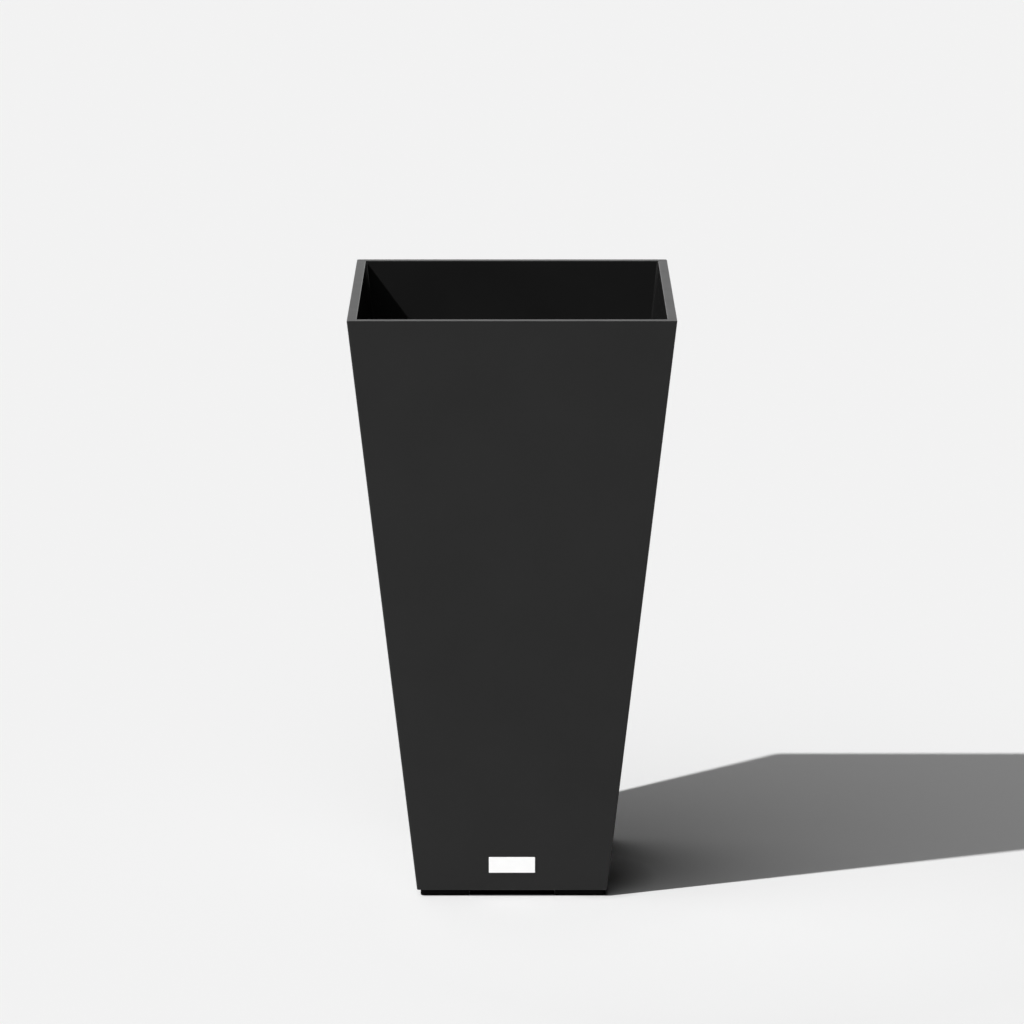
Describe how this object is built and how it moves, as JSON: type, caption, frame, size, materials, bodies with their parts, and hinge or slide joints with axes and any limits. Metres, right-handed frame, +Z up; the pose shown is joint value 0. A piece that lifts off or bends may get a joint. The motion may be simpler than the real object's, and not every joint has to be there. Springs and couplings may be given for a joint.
{
  "type": "tapered planter",
  "caption": "Tall square planter that tapers to its foot, with a lift-out false floor, pull-out drain bungs, rubber corner feet and a bare plate on the front.",
  "frame": {"origin": "on the ground, under the middle of the planter", "axes": "+Z up; the front, with the plate, faces -Y; +X is to the right seen from the front"},
  "size_m": [0.3748, 0.3748, 0.71],
  "materials": {
    "shell_plastic": "fine-grained black moulded plastic and stone compound",
    "shelf_plastic": "plain moulded black plastic",
    "foot_rubber": "moulded black rubber",
    "plug_rubber": "moulded black rubber",
    "screw_steel": "zinc plated",
    "washer_steel": "zinc plated",
    "label_enamel": "white enamel",
    "adhesive_pad": "foam adhesive pad"
  },
  "bodies": {
    "planter": {"planter_shell": "shell_plastic", "foot_front_left": "foot_rubber", "foot_front_right": "foot_rubber", "foot_back_left": "foot_rubber", "foot_back_right": "foot_rubber", "foot_screws": "screw_steel", "foot_washers": "washer_steel", "label_plate": "label_enamel", "label_adhesive": "adhesive_pad"},
    "shelf": {"insert_shelf": "shelf_plastic"},
    "plug_front": {"drain_plug_front": "plug_rubber"},
    "plug_back": {"drain_plug_back": "plug_rubber"},
    "plug_left": {"drain_plug_left": "plug_rubber"},
    "plug_right": {"drain_plug_right": "plug_rubber"}
  },
  "joints": [
    {"name": "shelf_lift", "type": "slide", "parent": "planter", "child": "shelf", "axis": [0, 0, 1], "range_m": [0, 0.4]},
    {"name": "plug_front_pull", "type": "slide", "parent": "planter", "child": "plug_front", "axis": [0, 0, 1], "range_m": [0, 0.08]},
    {"name": "plug_back_pull", "type": "slide", "parent": "planter", "child": "plug_back", "axis": [0, 0, 1], "range_m": [0, 0.08]},
    {"name": "plug_left_pull", "type": "slide", "parent": "planter", "child": "plug_left", "axis": [0, 0, 1], "range_m": [0, 0.08]},
    {"name": "plug_right_pull", "type": "slide", "parent": "planter", "child": "plug_right", "axis": [0, 0, 1], "range_m": [0, 0.08]}
  ]
}
